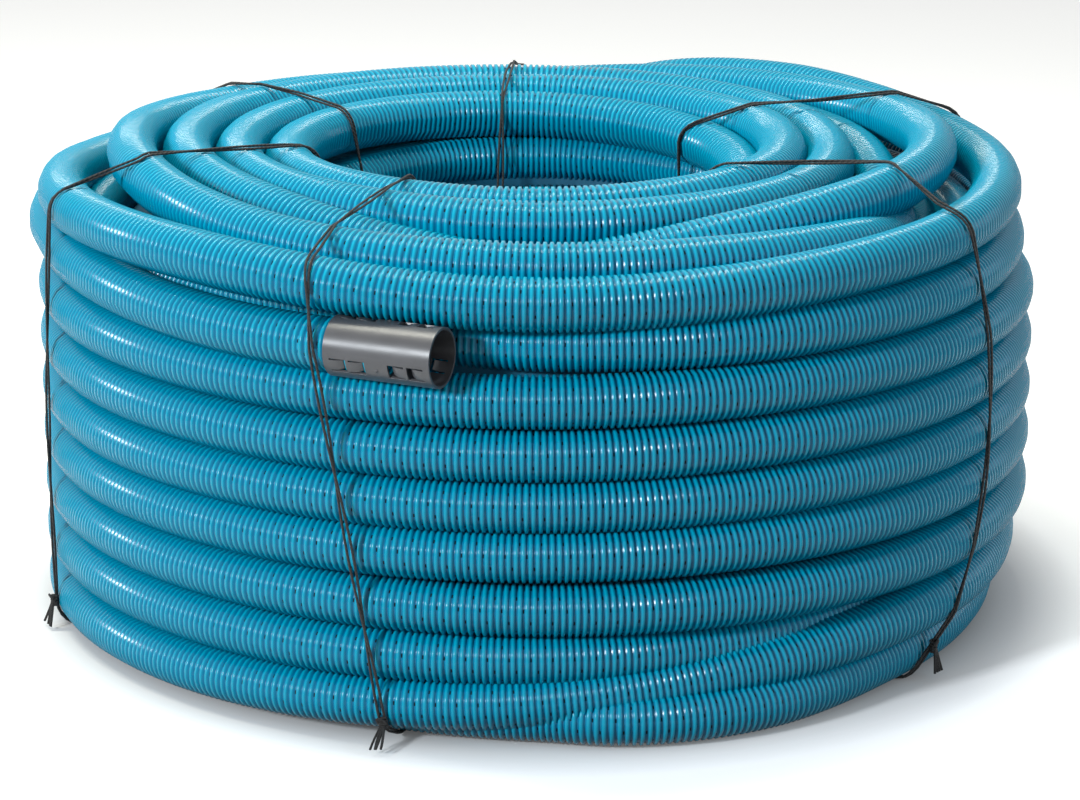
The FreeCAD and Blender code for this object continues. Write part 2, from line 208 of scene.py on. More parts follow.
def wave_mesh(pitch, sides, facing):
    """One wave along X, with more sides on the face that shows: 0 is away from the coil, 90 up."""
    mesh = bmesh.new()
    bmesh.ops.create_circle(mesh, segments=sides, radius=1.0)
    for vert in mesh.verts:
        turn = atan2(vert.co.y, vert.co.x)
        turn -= CROWDING * sin(turn)
        turn += radians(facing)
        vert.co = Vector((0, -cos(turn), sin(turn))) * PIPE_RADIUS * MM
    edges = mesh.edges[:]
    profile = ((CREST_END, 0.0), (VALLEY_START, WAVE_DEEP), (VALLEY_END, WAVE_DEEP), (1.0, 0.0))
    for share, depth in profile:
        grown = bmesh.ops.extrude_edge_only(mesh, edges=edges)["geom"]
        edges = [item for item in grown if isinstance(item, bmesh.types.BMEdge)]
        for vert in (item for item in grown if isinstance(item, bmesh.types.BMVert)):
            outward = Vector((0, vert.co.y, vert.co.z)).normalized()
            vert.co = outward * (PIPE_RADIUS - depth) * MM + Vector((share * pitch * MM, 0, 0))
    bmesh.ops.recalc_face_normals(mesh, faces=mesh.faces[:])
    layer = mesh.loops.layers.uv.new("along_and_around")
    for face in mesh.faces:
        face.smooth = True
        middle = atan2(face.calc_center_median().z, -face.calc_center_median().y)
        for loop in face.loops:
            turn = atan2(loop.vert.co.z, -loop.vert.co.y)
            turn += 2 * pi * round((middle - turn) / (2 * pi))
            loop[layer].uv = (loop.vert.co.x / (pitch * MM), turn / (2 * pi))
    return mesh


def as_object(mesh, name, material):
    """A finished bmesh as an object of the coil."""
    data = bpy.data.meshes.new(name)
    mesh.to_mesh(data)
    mesh.free()
    thing = bpy.data.objects.new(name, data)
    scene.collection.objects.link(thing)
    data.materials.append(material)
    return thing


def pipe_along(name, points, sides, facing):
    """A length of waved pipe along points, as its own object: one wave, repeated and bent."""
    route = bpy.data.curves.new(name + "_route", "CURVE")
    route.dimensions = "3D"
    route.twist_mode = "Z_UP"
    spline = route.splines.new("POLY")
    spline.points.add(len(points) - 1)
    for place, point in zip(spline.points, points):
        place.co = (*(point * MM), 1)
    waves = max(1, round(spline.calc_length() / (WAVE_PITCH * MM)))
    pitch = spline.calc_length() / MM / waves
    guide = bpy.data.objects.new(name + "_route", route)
    scene.collection.objects.link(guide)
    wave = as_object(wave_mesh(pitch, sides, facing), name + "_wave", PVC)
    array = wave.modifiers.new("waves", "ARRAY")
    array.count = waves
    array.use_relative_offset = False
    array.use_constant_offset = True
    array.constant_offset_displace = (pitch * MM, 0, 0)
    array.use_merge_vertices = True
    array.merge_threshold = MERGE_REACH * MM
    array.offset_u = 1.0
    bent = wave.modifiers.new("bent", "CURVE")
    bent.object = guide
    bent.deform_axis = "POS_X"
    bpy.context.view_layer.update()
    depsgraph = bpy.context.evaluated_depsgraph_get()
    data = bpy.data.meshes.new_from_object(wave.evaluated_get(depsgraph), depsgraph=depsgraph)
    for spare in (wave, guide):
        bpy.data.objects.remove(spare)
    data.name = name
    thing = bpy.data.objects.new(name, data)
    scene.collection.objects.link(thing)
    return thing


def close_ends(thing, open_at):
    """Caps the ends of a length of pipe, which lie buried in the coil, apart from one at a place."""
    mesh = bmesh.new()
    mesh.from_mesh(thing.data)
    rims = [edge for edge in mesh.edges if edge.is_boundary]
    if open_at:
        rims = [edge for edge in rims if (edge.verts[0].co / MM - open_at).length > 2 * PIPE_RADIUS]
    bmesh.ops.holes_fill(mesh, edges=rims, sides=0)
    mesh.to_mesh(thing.data)
    mesh.free()


ROUTES = []


def lay_pipe(name, points, sides=14, facing=0.0, open_at=None):
    """Lays a length of pipe in the coil and remembers its route for the ties."""
    thing = pipe_along(name, points, sides, facing)
    close_ends(thing, open_at)
    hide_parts("drain_pipe")
    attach(thing, "root")
    ROUTES.append(points)


# The outer wall: turns that lie level round the front and step up to the next level at the back.
# The lowest bulges at the front and lies further in on the right, and the eighth from the top tucks
# in behind its neighbours there.
WALL_RADIUS = 474
LOWER_WALL = [
    (-45, 428, 25), (-25, 446, 25), (0, 466, 25), (9, 484, 25), (18, 488, 25), (27, 482, 25),
    (37, 466, 25), (45, 455, 25), (60, 446, 25), (75, 442, 25), (90, 442, 25), (110, 446, 25),
    (135, 458, 25), (180, 474, 26), (270, 474, 28), (315, 474, 30), (345, 474, 35), (360, 474, 41),
    (387, 474, 60), (405, 472, 70), (450, 461, 76), (540, 472, 79), (630, 474, 81), (675, 474, 81),
    (700, 473, 81), (720, 470, 81), (738, 462, 80), (752, 452, 81), (762, 440, 84), (775, 428, 90),
    (810, 430, 94), (860, 452, 108), (900, 472, 122), (950, 474, 131), (990, 474, 131),
    (1050, 474, 131), (1080, 474, 129), (1120, 474, 126), (1150, 473, 125), (1200, 473, 127),
]
lay_pipe("lower_wall_turns", winding(LOWER_WALL))

# The turns above them lie level, one on the other, 50 mm apart. Each is given by its height at the
# left, front and right. The last goes in under the top turns.
UPPER_LEVELS = [(181, 181, 179), (229, 228, 227), (279, 276, 277), (330, 326, 326)]
stations = [(1200, 473, 127), (1260, 473, 148)]
for level, (left, front, right) in enumerate(UPPER_LEVELS):
    ahead = 1440 + 360 * level
    stations += [(ahead - 110, WALL_RADIUS, left), (ahead - 60, WALL_RADIUS, left),
                 (ahead, WALL_RADIUS, front), (ahead + 60, WALL_RADIUS, right), (ahead + 120, 473, right)]
stations += [(2680, 468, 345), (2700, 456, 353), (2720, 438, 364), (2745, 415, 374)]
upper_route = winding(stations)
half_way = len(upper_route) // 2
lay_pipe("middle_wall_turns", upper_route[:half_way + 1])
lay_pipe("upper_wall_turns", upper_route[half_way:])

# The second turn from the top comes out of the coil behind the coupler, lies on the wall round the
# right side and goes back in at the rear.
SECOND_TURN = [
    (-30, 424, 374), (-12, 436, 373), (0, 450, 373), (15, 464, 374), (28, 471, 375), (45, 471, 375),
    (90, 462, 378), (130, 460, 384), (150, 447, 386), (170, 425, 384), (185, 410, 382),
]
lay_pipe("second_turn", winding(SECOND_TURN))

# The top turns are one run of pipe. It comes up out of the eye, widens by a column each time round,
# dips under itself at the front and climbs to the rim. From there the free end bends out, wider than
# the coil, and runs straight into the coupler.
END_START, END_TURN, END_SPREAD, END_LEVEL = -75.0, 50.0, 38.5, 374.0
END_STEPS = 32
COUPLER_DEPTH = 51.0
WAVED_LONG = 37.8
INNER_SHARE = 0.53
TOP_TURNS = [
    (-110, 240, 384), (-60, 233, 384), (0, 228, 386), (45, 219, 396), (90, 212, 412),
    (135, 231, 425), (180, 258, 432), (225, 257, 438), (270, 247, 442), (315, 246, 445),
    (360, 246, 445), (405, 246, 445), (450, 247, 445), (495, 277, 441), (540, 305, 441),
    (585, 304, 445), (630, 297, 448), (675, 295, 447), (720, 294, 443), (765, 294, 440),
    (810, 295, 438), (855, 325, 440), (900, 352, 442), (945, 352, 448), (990, 348, 455),
    (1030, 344, 446), (1060, 341, 424), (1080, 346, 412), (1095, 355, 424), (1110, 365, 438),
    (1130, 381, 450), (1170, 396, 456), (1190, 394, 452), (1210, 398, 446), (1240, 420, 434),
    (1260, 450, 420), (1275, 457, 420), (1290, 459, 421), (1305, 456, 420), (1320, 460, 410),
    (1335, 466, 414), (1350, 471, 423), (1395, 474, 433), (1440, 474, 416), (1485, 469, 424),
    (1530, 456, 431), (1550, 441, 436), (1565, 438, 441), (1582, 443, 444), (1600, 460, 432),
    (1620, 481, 393), (1650, 492, 380), (1680, 496, 384), (1696, 494, 386), (1710, 485, 385),
    (1720, 476.5, 384), (1725, 474, 383),
]
bend_centre = polar(END_START, -END_SPREAD, 0)
bend_radius = WALL_RADIUS + END_SPREAD
heading = END_START + END_TURN
axis = Vector((cos(radians(heading)), sin(radians(heading)), 0))
mouth = bend_centre + polar(heading, bend_radius, END_LEVEL)
straight_start = degrees(WAVED_LONG / bend_radius)
top_route = winding(TOP_TURNS)
leaving_level = TOP_TURNS[-1][2]
for index in range(1, END_STEPS + 1):
    share = index / END_STEPS
    level = leaving_level + (END_LEVEL - leaving_level) * share * share * (3 - 2 * share)
    angle = END_START + (END_TURN - straight_start) * share
    top_route.append(bend_centre + polar(angle, bend_radius, level))
top_route += [mouth + axis * far for far in (-WAVED_LONG * 0.6, 0, COUPLER_DEPTH / 2, COUPLER_DEPTH)]
pipe_end = top_route[-1]
half_way = round(len(top_route) * INNER_SHARE)
lay_pipe("top_turns_inner", top_route[:half_way + 1], facing=80)
lay_pipe("top_turns_outer_and_free_end", top_route[half_way:], sides=16, facing=80, open_at=pipe_end)

# The cut end shows the wall of the pipe and its bore, a little way in. It is sawn off square in a
# valley, and the coupler hides where this stretch of bore stops.
BORE_RADIUS = 22.0
BORE_SHOWN = 80.0
BORE_SIDES = 32
mesh = bmesh.new()
turn = axis.to_track_quat("Z", "Y").to_matrix().to_4x4()
profile = [(PIPE_RADIUS, 0.0), (BORE_RADIUS, 0.0), (BORE_RADIUS, -BORE_SHOWN), (0.0, -BORE_SHOWN)]
corners = [mesh.verts.new((reach * MM, 0, depth * MM)) for reach, depth in profile]
edges = [mesh.edges.new(pair) for pair in zip(corners, corners[1:])]
bmesh.ops.spin(mesh, geom=corners + edges, axis=(0, 0, 1), cent=(0, 0, 0), angle=2 * pi,
               steps=BORE_SIDES, use_merge=True)
bmesh.ops.remove_doubles(mesh, verts=mesh.verts[:], dist=MM / 10)
bmesh.ops.recalc_face_normals(mesh, faces=mesh.faces[:])
bottom = [face for face in mesh.faces if face.calc_center_median().z < -MM]
if not any(face.normal.z > 0.9 for face in bottom):
    bmesh.ops.reverse_faces(mesh, faces=mesh.faces[:])
bmesh.ops.transform(mesh, matrix=Matrix.Translation(pipe_end * MM) @ turn, verts=mesh.verts[:])
free_end_bore = as_object(mesh, "free_end_bore", PVC)
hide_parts("drain_pipe")
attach(free_end_bore, "root")

# One more turn lies crooked among the top ones: it comes up from under them at the right, rides high
# on the left and goes back under its neighbour at the right.
CROOKED_TURN = [
    (62, 388, 408), (75, 360, 404), (90, 343, 418), (110, 348, 424), (135, 368, 423), (160, 380, 426),
    (180, 394, 428), (210, 393, 437), (236, 387, 447), (246, 393, 451), (259, 399, 457),
    (270, 401, 462), (285, 404, 461), (300, 406, 455), (330, 419, 441), (360, 424, 436),
    (385, 422, 432), (405, 412, 424), (414, 401, 415), (422, 388, 408),
]
lay_pipe("crooked_turn", winding(CROOKED_TURN), facing=70)

# Under the loose top lies the next layer, which shows dark between its turns. Only the stretches
# that the gaps let the eye see are laid.
BURIED_OUTER = [
    (-170, 430, 384), (-120, 438, 386), (-80, 438, 386), (-45, 428, 384), (0, 425, 382), (125, 425, 379),
]
BURIED_INNER = [(-10, 377, 384), (70, 377, 382), (150, 377, 379)]
lay_pipe("buried_turn_outer", winding(BURIED_OUTER), sides=8, facing=90)
lay_pipe("buried_turn_inner", winding(BURIED_INNER), sides=8, facing=90)

# The eye of the coil is walled by turns that climb from the floor, each stepping up to the next.
# Both their ends are hidden, the upper one under the top turns on the left.
EYE_RADIUS, EYE_FLOOR, EYE_STEP, EYE_LEVELS = 233.0, 26, 51.0, 7
stations = [(-300, 262, 70), (-275, 245, 44)]
for level in range(EYE_LEVELS):
    height = EYE_FLOOR + level * EYE_STEP
    stations += [(360 * level + ahead, EYE_RADIUS, height) for ahead in (-250, -100, 40)]
stations += [(2270, 240, 384), (2310, 253, 386), (2360, 255, 387), (2410, 240, 384)]
lay_pipe("eye_turns", winding(stations), sides=8, facing=180)

# On the floor the columns show as rings, each of which steps out to the next and last to the wall.
# The outermost ring lifts where the lowest turn of the wall lies in under it, on the right.
FLOOR_COLUMNS = (281.2, 329.4, 377.6, 425.8)
FLOOR_LEVEL = 25.5
stations = [(-1465, 300, 75), (-1440, 286, 40)]
for index, column in enumerate(FLOOR_COLUMNS):
    end = LOWER_WALL[0][0] - 360 * (len(FLOOR_COLUMNS) - 1 - index)
    stations += [(end + back, column, FLOOR_LEVEL) for back in (-300, -150, 0)]
stations[-2:-2] = [(-320, 424, 34), (-300, 420, 66), (-245, 420, 68), (-215, 424, 34)]
lay_pipe("floor_turns", winding(stations), sides=8, facing=-90)

# The turns buried in the middle are one plain ring of the same PVC, coloured darker as painted shade, which
# keeps light from showing through the gaps. It is bevelled at the top where the wall's turns round off.
# Both colours are darkened as painted shade; the noise between them only varies it at random.
BURIED_PAINTED_SHADE = "#0A6F90"
BURIED_DEEPER_PAINTED_SHADE = "#05435A"
SHADE_SIZE = 33.333
BURIED_ROUGHNESS = 0.6
CORE_LOW, CORE_HIGH, CORE_INNER, CORE_OUTER = 36.0, 388.0, 245.0, 452.0
SHOULDER_DEEP, SHOULDER_WIDE = 25.0, 60.0
CORE_SIDES = 72
mesh = bmesh.new()
profile = [(CORE_INNER, CORE_LOW), (CORE_OUTER, CORE_LOW), (CORE_OUTER, CORE_HIGH - SHOULDER_DEEP),
           (CORE_OUTER - SHOULDER_WIDE, CORE_HIGH), (CORE_INNER, CORE_HIGH)]
corners = [mesh.verts.new((reach * MM, 0, height * MM)) for reach, height in profile]
edges = [mesh.edges.new(pair) for pair in zip(corners, corners[1:] + corners[:1])]
bmesh.ops.spin(mesh, geom=corners + edges, axis=(0, 0, 1), cent=(0, 0, 0), angle=2 * pi,
               steps=CORE_SIDES, use_merge=True)
bmesh.ops.recalc_face_normals(mesh, faces=mesh.faces[:])
buried, shader = new_material("buried_pvc_painted_shade")
spot = add_node(buried, "ShaderNodeTexCoord")
shade = add_node(buried, "ShaderNodeTexNoise",
                 {"Vector": spot.outputs["Object"], "Scale": noise_scale(SHADE_SIZE)})
dim = add_node(buried, "ShaderNodeMix", {0: shade, 6: linear(BURIED_PAINTED_SHADE), 7: linear(BURIED_DEEPER_PAINTED_SHADE)},
               data_type="RGBA")
buried.node_tree.links.new(dim.outputs[2], shader.inputs["Base Color"])
shader.inputs["Roughness"].default_value = BURIED_ROUGHNESS
buried_turns = as_object(mesh, "buried_turns", buried)
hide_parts("drain_pipe")
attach(buried_turns, "root")

# The coupler is a moulded sleeve of grey polypropylene, satin and a little scuffed. Rows of snap tabs,
# cut out on three sides and bent inwards, grip the waves of both pipes, and a ring inside stops them.
# A small round mark between the pairs of tabs shows where the ring is.
SLEEVE_LONG, SLEEVE_OUTER, SLEEVE_WALL = 106.0, 27.75, 2.4
TAB_ROWS, TAB_TURN = 3, 25.0
TAB_LONG, TAB_WIDE = 16.0, 14.6
TAB_CUT, TIP_GAP = 1.7, 3.4
TAB_DIP, TAB_BEND = 3.4, 2.4
TAB_STARTS = (6.5, 25.5)
TAB_RINGS = (0.0, 0.5, 0.72, 0.87, 1.0)
ARC_STEPS = 15
NEARLY = 0.01
STOP_INNER, STOP_HALF, STOP_BITE, STOP_SIDES = 23.35, 1.0, 0.3, 36
DOT_RADIUS, DOT_SUNK = 2.3, 1.1
EDGE_ROUND, EDGE_LIMIT = 0.25, 50
COUPLER_GREY = "#3E3E41"
COUPLER_WORN = "#4C4C4F"
POLYPROPYLENE_IOR = 1.49
SATIN, SCUFFED = 0.28, 0.40
# The mould's texture is finer than this too. The scuffs are patches a finger wide.
TEXTURE_SIZE, SCUFF_SIZE = 0.714286, 25.0
TEXTURE_STRENGTH, TEXTURE_HEIGHT = 0.15, 0.3
tongue = TAB_LONG - TIP_GAP
row_arc = 360 / TAB_ROWS
tab_edge = degrees(TAB_WIDE / 2 / SLEEVE_OUTER)
cut_edge = degrees((TAB_WIDE / 2 - TAB_CUT) / SLEEVE_OUTER)
plain_arc = row_arc - 2 * tab_edge
row_turns = [-tab_edge, -cut_edge, -cut_edge / 3, cut_edge / 3, cut_edge]
row_turns += [tab_edge + plain_arc * index / ARC_STEPS for index in range(ARC_STEPS)]
turns = [row * row_arc + turn for row in range(TAB_ROWS) for turn in row_turns]
levels = {0.0, SLEEVE_LONG / 2, SLEEVE_LONG}
for first in TAB_STARTS:
    for level in [first + tongue * share for share in TAB_RINGS] + [first + TAB_LONG]:
        levels |= {level, SLEEVE_LONG - level}
mesh = bmesh.new()
bmesh.ops.create_circle(mesh, segments=len(turns), radius=1.0)
for vert, turn in zip(mesh.verts, turns):
    vert.co = Vector((cos(radians(turn)), sin(radians(turn)), 0)) * SLEEVE_OUTER
edges = mesh.edges[:]
for level in sorted(levels)[1:]:
    grown = bmesh.ops.extrude_edge_only(mesh, edges=edges)["geom"]
    edges = [item for item in grown if isinstance(item, bmesh.types.BMEdge)]
    for vert in (item for item in grown if isinstance(item, bmesh.types.BMVert)):
        vert.co.z = level


def in_tab(point):
    """How far a place on the sleeve is along a tab, from its root, and from the middle of its row."""
    turn = (degrees(atan2(point.y, point.x)) + row_arc / 2) % row_arc - row_arc / 2
    from_end = min(point.z, SLEEVE_LONG - point.z)
    for first in TAB_STARTS:
        if first - NEARLY < from_end < first + TAB_LONG + NEARLY:
            return from_end - first, abs(turn)
    return -1.0, abs(turn)


cut_faces = []
for face in mesh.faces:
    reached, aside = in_tab(face.calc_center_median())
    if reached > 0 and aside < tab_edge and (aside > cut_edge or reached > tongue):
        cut_faces.append(face)
bmesh.ops.delete(mesh, geom=cut_faces, context="FACES")
for vert in mesh.verts:
    reached, aside = in_tab(vert.co)
    if 0 < reached < TAB_LONG - TIP_GAP / 2 and aside < cut_edge + 0.1:
        vert.co.xy *= 1 - TAB_DIP * (reached / tongue) ** TAB_BEND / SLEEVE_OUTER
bmesh.ops.recalc_face_normals(mesh, faces=mesh.faces[:])
bmesh.ops.solidify(mesh, geom=mesh.faces[:], thickness=SLEEVE_WALL)
stop_outer = SLEEVE_OUTER - SLEEVE_WALL + STOP_BITE
profile = ((stop_outer, STOP_HALF), (STOP_INNER, STOP_HALF),
           (STOP_INNER, -STOP_HALF), (stop_outer, -STOP_HALF))
corners = [mesh.verts.new((reach, 0, SLEEVE_LONG / 2 + level)) for reach, level in profile]
edges = [mesh.edges.new(pair) for pair in zip(corners, corners[1:] + corners[:1])]
bmesh.ops.spin(mesh, geom=corners + edges, axis=(0, 0, 1), cent=(0, 0, 0), angle=2 * pi,
               steps=STOP_SIDES, use_merge=True)
for row in range(TAB_ROWS):
    spot = Vector((SLEEVE_OUTER - DOT_SUNK, 0, SLEEVE_LONG / 2))
    spot.rotate(Euler((0, 0, radians(row * row_arc))))
    bmesh.ops.create_icosphere(mesh, subdivisions=2, radius=DOT_RADIUS, matrix=Matrix.Translation(spot))
outward = polar(heading, 1, 0)
stand = Matrix((outward, (0, 0, -1), axis)).transposed().to_4x4()
turned = Matrix.Rotation(radians(TAB_TURN), 4, "Z") @ Matrix.Scale(MM, 4)
bmesh.ops.transform(mesh, matrix=Matrix.Translation(mouth * MM) @ stand @ turned, verts=mesh.verts[:])
bmesh.ops.recalc_face_normals(mesh, faces=mesh.faces[:])
for face in mesh.faces:
    face.smooth = True
moulded, shader = new_material("grey_polypropylene_moulded")
spot = add_node(moulded, "ShaderNodeTexCoord")
grain = add_node(moulded, "ShaderNodeTexNoise",
                 {"Vector": spot.outputs["Object"], "Scale": noise_scale(TEXTURE_SIZE), "Detail": 3.0})
scuffs = add_node(moulded, "ShaderNodeTexNoise",
                  {"Vector": spot.outputs["Object"], "Scale": noise_scale(SCUFF_SIZE), "Detail": 4.0})
tone = add_node(moulded, "ShaderNodeMix", {0: scuffs, 6: linear(COUPLER_GREY), 7: linear(COUPLER_WORN)},
                data_type="RGBA")
moulded.node_tree.links.new(tone.outputs[2], shader.inputs["Base Color"])
rough = add_node(moulded, "ShaderNodeMapRange", {0: scuffs, 3: SATIN, 4: SCUFFED})
moulded.node_tree.links.new(rough.outputs[0], shader.inputs["Roughness"])
dimple = add_node(moulded, "ShaderNodeBump",
                  {"Height": grain, "Strength": TEXTURE_STRENGTH, "Distance": TEXTURE_HEIGHT * MM})
moulded.node_tree.links.new(dimple.outputs[0], shader.inputs["Normal"])
shader.inputs["IOR"].default_value = POLYPROPYLENE_IOR
sleeve = as_object(mesh, "coupler_sleeve", moulded)
rounded = sleeve.modifiers.new("rounded_edges", "BEVEL")
rounded.width = EDGE_ROUND * MM
rounded.segments = 2
rounded.limit_method = "ANGLE"
rounded.angle_limit = radians(EDGE_LIMIT)
rounded.harden_normals = True
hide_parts("coupler")
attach(sleeve, "root")

# Six ties hold the coil. Each is two strands of black twine, twisted polypropylene yarn, pulled tight
# round whatever turns it crosses, with a knot and short tails at the foot of the outer wall.
# Each is given by its angle round the coil, its lean, and where it crosses the eye's wall.
TWINE_BLACK = "#08080A"
TWINE_BROWN = "#161311"
TWINE_RADIUS = 1.25
TWIST_PITCH = 5.0
PLY_HEIGHT, PLY_STRENGTH = 1.2, 0.8
FIBRE_SIZE, FIBRE_SHARE = 1.66667, 0.3
TWINE_ROUGHNESS, TWINE_SHEEN = 0.75, 0.05
STRAND_APART = 2.7
STRAND_WANDER = 150.0
MID_HEIGHT = 225.0
EYE_WALL = 208.0
TIES = [(-62.0, 4.3, -0.353), (-20.0, -9.3, -0.01), (62.6, 6.1, -0.42), (86.0, 0.0, 0.721),
        (175.0, 0.0, 0.269), (240.2, 0.0, -0.09)]
# Some are pulled aside: halfway up the wall, and on top at a reach from the middle of the coil.
TIE_PULLS = {1: (-14.0, 29.0, 418.0), 3: (60.0, 52.0, 380.0), 4: (0.0, 45.0, 450.0),
             6: (0.0, -18.0, 400.0)}
NO_PULL = (0.0, 0.0, 400.0)
WALL_FROM, TOP_FROM, PULL_FADE = 400, 120, 60
PULL_INSIDE, PULL_OUTSIDE = 170, 75
TIE_LENGTH = 1500.0
LOOP_STEP = 8
SECTION_SIDES = 24
FLOOR_ROOM = 0.2
# A knot is a few wraps round both strands, a loose cross over them, and four tails.
KNOT_OUT = 3.2
WRAP_POINTS, WRAP_POINTS_A_TURN = 44, 11
WRAP_DEEP, WRAP_WIDE, WRAP_TOP, WRAP_DROP = 3.0, 3.8, 6.0, 0.28
CROSS_POINTS, CROSS_POINTS_A_TURN = 26, 12
CROSS_OUT, CROSS_DEEP, CROSS_WIDE, CROSS_TALL = 1.2, 3.4, 3.8, 5.5
KNOT_HEIGHT, TAIL_REACH, TAIL_DROP = 30.0, 5.0, 23.0
LOW_KNOT, LOW_KNOT_HEIGHT, LOW_TAIL_REACH, LOW_TAIL_DROP = 2, 13.0, 24.0, 14.0
TAIL_SIDES = (-0.7, -0.25, 0.3, 0.75)
TAIL_SPREAD, TAIL_CURL = 9, 3


def twine_material():
    """Twisted yarn: nearly black, matt and a little fibrous, with the plies running across it."""
    material, shader = new_material("black_twisted_twine")
    link = material.node_tree.links.new
    place = add_node(material, "ShaderNodeUVMap", uv_map="UVMap")
    split = add_node(material, "ShaderNodeSeparateXYZ", {0: place})
    along = add_node(material, "ShaderNodeMath", {0: split.outputs[0], 1: TIE_LENGTH / TWIST_PITCH},
                     operation="MULTIPLY")
    twisted = add_node(material, "ShaderNodeMath", {0: split.outputs[1], 1: 2.0, 2: along},
                       operation="MULTIPLY_ADD")
    ply = add_node(material, "ShaderNodeMath", {0: twisted, 1: 0.5}, operation="PINGPONG")
    spot = add_node(material, "ShaderNodeTexCoord")
    fibre = add_node(material, "ShaderNodeTexNoise",
                     {"Vector": spot.outputs["Object"], "Scale": noise_scale(FIBRE_SIZE), "Detail": 3.0})
    tone = add_node(material, "ShaderNodeMix", {0: fibre, 6: linear(TWINE_BLACK), 7: linear(TWINE_BROWN)},
                    data_type="RGBA")
    link(tone.outputs[2], shader.inputs["Base Color"])
    height = add_node(material, "ShaderNodeMath", {0: fibre, 1: FIBRE_SHARE, 2: ply},
                      operation="MULTIPLY_ADD")
    bump = add_node(material, "ShaderNodeBump",
                    {"Height": height, "Strength": PLY_STRENGTH, "Distance": PLY_HEIGHT * MM})
    link(bump.outputs[0], shader.inputs["Normal"])
    shader.inputs["Roughness"].default_value = TWINE_ROUGHNESS
    shader.inputs["Sheen Weight"].default_value = TWINE_SHEEN
    return material


TWINE = twine_material()


def between(value, low, high):
    """A value kept between two others."""
    return min(max(value, low), high)


def tie_axes(angle, lean, share):
    """The frame of a tie: x away from the coil, y across the tie, and the coil's middle height at 0."""
    turn = Matrix.Rotation(radians(angle - 90), 4, "Z") @ Matrix.Rotation(radians(-lean), 4, "X")
    side = Vector((cos(radians(angle)), sin(radians(angle)), 0))
    return Matrix.Translation(Vector((0, 0, MID_HEIGHT)) + side * share * EYE_WALL) @ turn


def pulled_aside(number, x, z):
    """How far a tie runs beside its plane."""
    at_wall, at_crest, crest = TIE_PULLS.get(number, NO_PULL)
    outside = between((x - WALL_FROM) / PULL_FADE, 0, 1)
    on_top = between((z - TOP_FROM) / PULL_FADE, 0, 1)
    reach = PULL_INSIDE if x < crest else PULL_OUTSIDE
    halfway = sin(pi * between((z + MID_HEIGHT) / (2 * MID_HEIGHT), 0, 1))
    return at_wall * halfway * outside + at_crest * on_top * max(0, 1 - abs(x - crest) / reach)


def sections(axes, number):
    """Points round each turn of pipe where a tie crosses it, a strand's radius outside it."""
    inward = axes.inverted()
    found = []
    for route in ROUTES:
        local = [inward @ point for point in route]
        for point in local:
            point.y -= pulled_aside(number, point.x, point.z)
        for first, second in zip(local, local[1:]):
            if first.y * second.y > 0 or first.x + second.x < 0:
                continue
            middle = first.lerp(second, first.y / (first.y - second.y))
            ahead = (second - first).normalized()
            aside = ahead.orthogonal().normalized()
            across = ahead.cross(aside)
            for index in range(SECTION_SIDES):
                turn = index * 2 * pi / SECTION_SIDES
                point = middle + (aside * cos(turn) + across * sin(turn)) * (PIPE_RADIUS + TWINE_RADIUS)
                point -= ahead * (point.y / ahead.y)
                found.append((point.x, point.z))
    return found


def taut_path(axes, number):
    """The shortest loop round those points, in millimetres, evenly divided, starting at the knot."""
    points = sections(axes, number)
    corners = [points[index] for index in convex_hull_2d(points)]
    loop = []
    for first, second in zip(corners, corners[1:] + corners[:1]):
        length = hypot(second[0] - first[0], second[1] - first[1])
        pieces = max(1, round(length / LOOP_STEP))
        for step in range(pieces):
            x, z = (start + (end - start) * step / pieces for start, end in zip(first, second))
            loop.append(Vector((x, pulled_aside(number, x, z), z)))
    level = (LOW_KNOT_HEIGHT if number == LOW_KNOT else KNOT_HEIGHT) - MID_HEIGHT
    knot = max(range(len(loop)), key=lambda index: loop[index].x - 0.5 * abs(loop[index].z - level))
    return loop[knot:] + loop[:knot]


def above_floor(points):
    """Points of a strand, lifted where they would lie in the floor."""
    for point in points:
        point.z = max(point.z, TWINE_RADIUS + FLOOR_ROOM)
    return points


def strand(loop, axes, side, phase):
    """One strand of a tie, which wanders beside the other and crosses it now and then."""
    centre = sum(loop, Vector()) / len(loop)
    points, length = [], 0.0
    for index, point in enumerate(loop):
        length += (point - loop[index - 1]).length if index else 0.0
        turn = pi * length / STRAND_WANDER + phase
        outward = Vector((point.x - centre.x, 0, point.z - centre.z)).normalized()
        points.append(axes @ (point + Vector((0, STRAND_APART * side * cos(turn), 0))
                              + outward * TWINE_RADIUS * (1 + side * sin(turn))))
    return above_floor(points) + points[:1]


def knot_paths(loop, axes, number):
    """The wraps of a knot and its loose tails."""
    chance = random.Random(number)
    reach, drop = (LOW_TAIL_REACH, LOW_TAIL_DROP) if number == LOW_KNOT else (TAIL_REACH, TAIL_DROP)
    middle = loop[0] + Vector((KNOT_OUT, 0, 0))
    wraps = []
    for index in range(WRAP_POINTS):
        turn = index * 2 * pi / WRAP_POINTS_A_TURN
        wraps.append(Vector((cos(turn) * WRAP_DEEP, sin(turn) * WRAP_WIDE, WRAP_TOP - index * WRAP_DROP)))
    cross = []
    for index in range(CROSS_POINTS):
        turn = index * 2 * pi / CROSS_POINTS_A_TURN
        cross.append(Vector((CROSS_OUT + sin(turn) * CROSS_DEEP, cos(turn * 1.1) * CROSS_WIDE,
                             sin(turn) * CROSS_TALL)))
    tails = []
    for side in TAIL_SIDES:
        curl = chance.uniform(-TAIL_CURL, TAIL_CURL)
        tails.append([Vector((2.0 + reach * share, side * (2 + TAIL_SPREAD * share) + curl * share * share,
                              -2 - drop * share)) for share in (0, 0.25, 0.5, 0.75, 1)])
    return [above_floor([axes @ (middle + point) for point in path]) for path in [wraps, cross] + tails]


